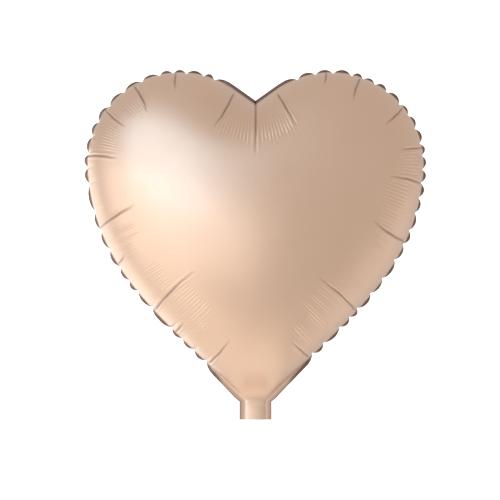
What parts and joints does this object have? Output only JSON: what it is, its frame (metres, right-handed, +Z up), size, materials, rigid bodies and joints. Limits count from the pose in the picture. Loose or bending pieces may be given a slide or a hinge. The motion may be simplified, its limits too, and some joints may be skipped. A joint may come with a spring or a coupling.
{
  "type": "heart-shaped foil balloon",
  "caption": "Inflated heart-shaped foil balloon with a welded edge band, a flat filling tail and a self-sealing film valve.",
  "frame": {"origin": "middle of the fold line across the neck, on the weld plane between the two panels", "axes": "+Z up from the neck to the cleft between the lobes, -Y out of the front panel, +X to the right as the front is seen"},
  "size_m": [0.372, 0.2082, 0.378],
  "materials": {
    "foil": "satin",
    "valve_film": "satin",
    "print": "matte"
  },
  "bodies": {
    "envelope": {"front_panel": "foil", "back_panel": "foil"},
    "tail": {"tail_front": "foil", "tail_back": "foil", "valve_sleeve_front": "valve_film", "valve_sleeve_back": "valve_film", "release_print": "print"},
    "flap_front": {"valve_flap_front": "valve_film"},
    "flap_back": {"valve_flap_back": "valve_film"}
  },
  "joints": [
    {"name": "tail_fold", "type": "hinge", "parent": "envelope", "child": "tail", "pos_m": [0, 0, 0], "axis": [1, 0, 0], "range_deg": [-95, 95]},
    {"name": "flap_front_open", "type": "hinge", "parent": "envelope", "child": "flap_front", "pos_m": [0, -0.00013, 0.005], "axis": [1, 0, 0], "range_deg": [0, 5], "stiffness_Nm_per_rad": 0.0005},
    {"name": "flap_back_open", "type": "hinge", "parent": "envelope", "child": "flap_back", "pos_m": [0, 0.00013, 0.005], "axis": [1, 0, 0], "range_deg": [-5, 0], "stiffness_Nm_per_rad": 0.0005}
  ],
  "couplings": [
    {"joint": "flap_back_open", "follows": "flap_front_open", "ratio": -1}
  ]
}
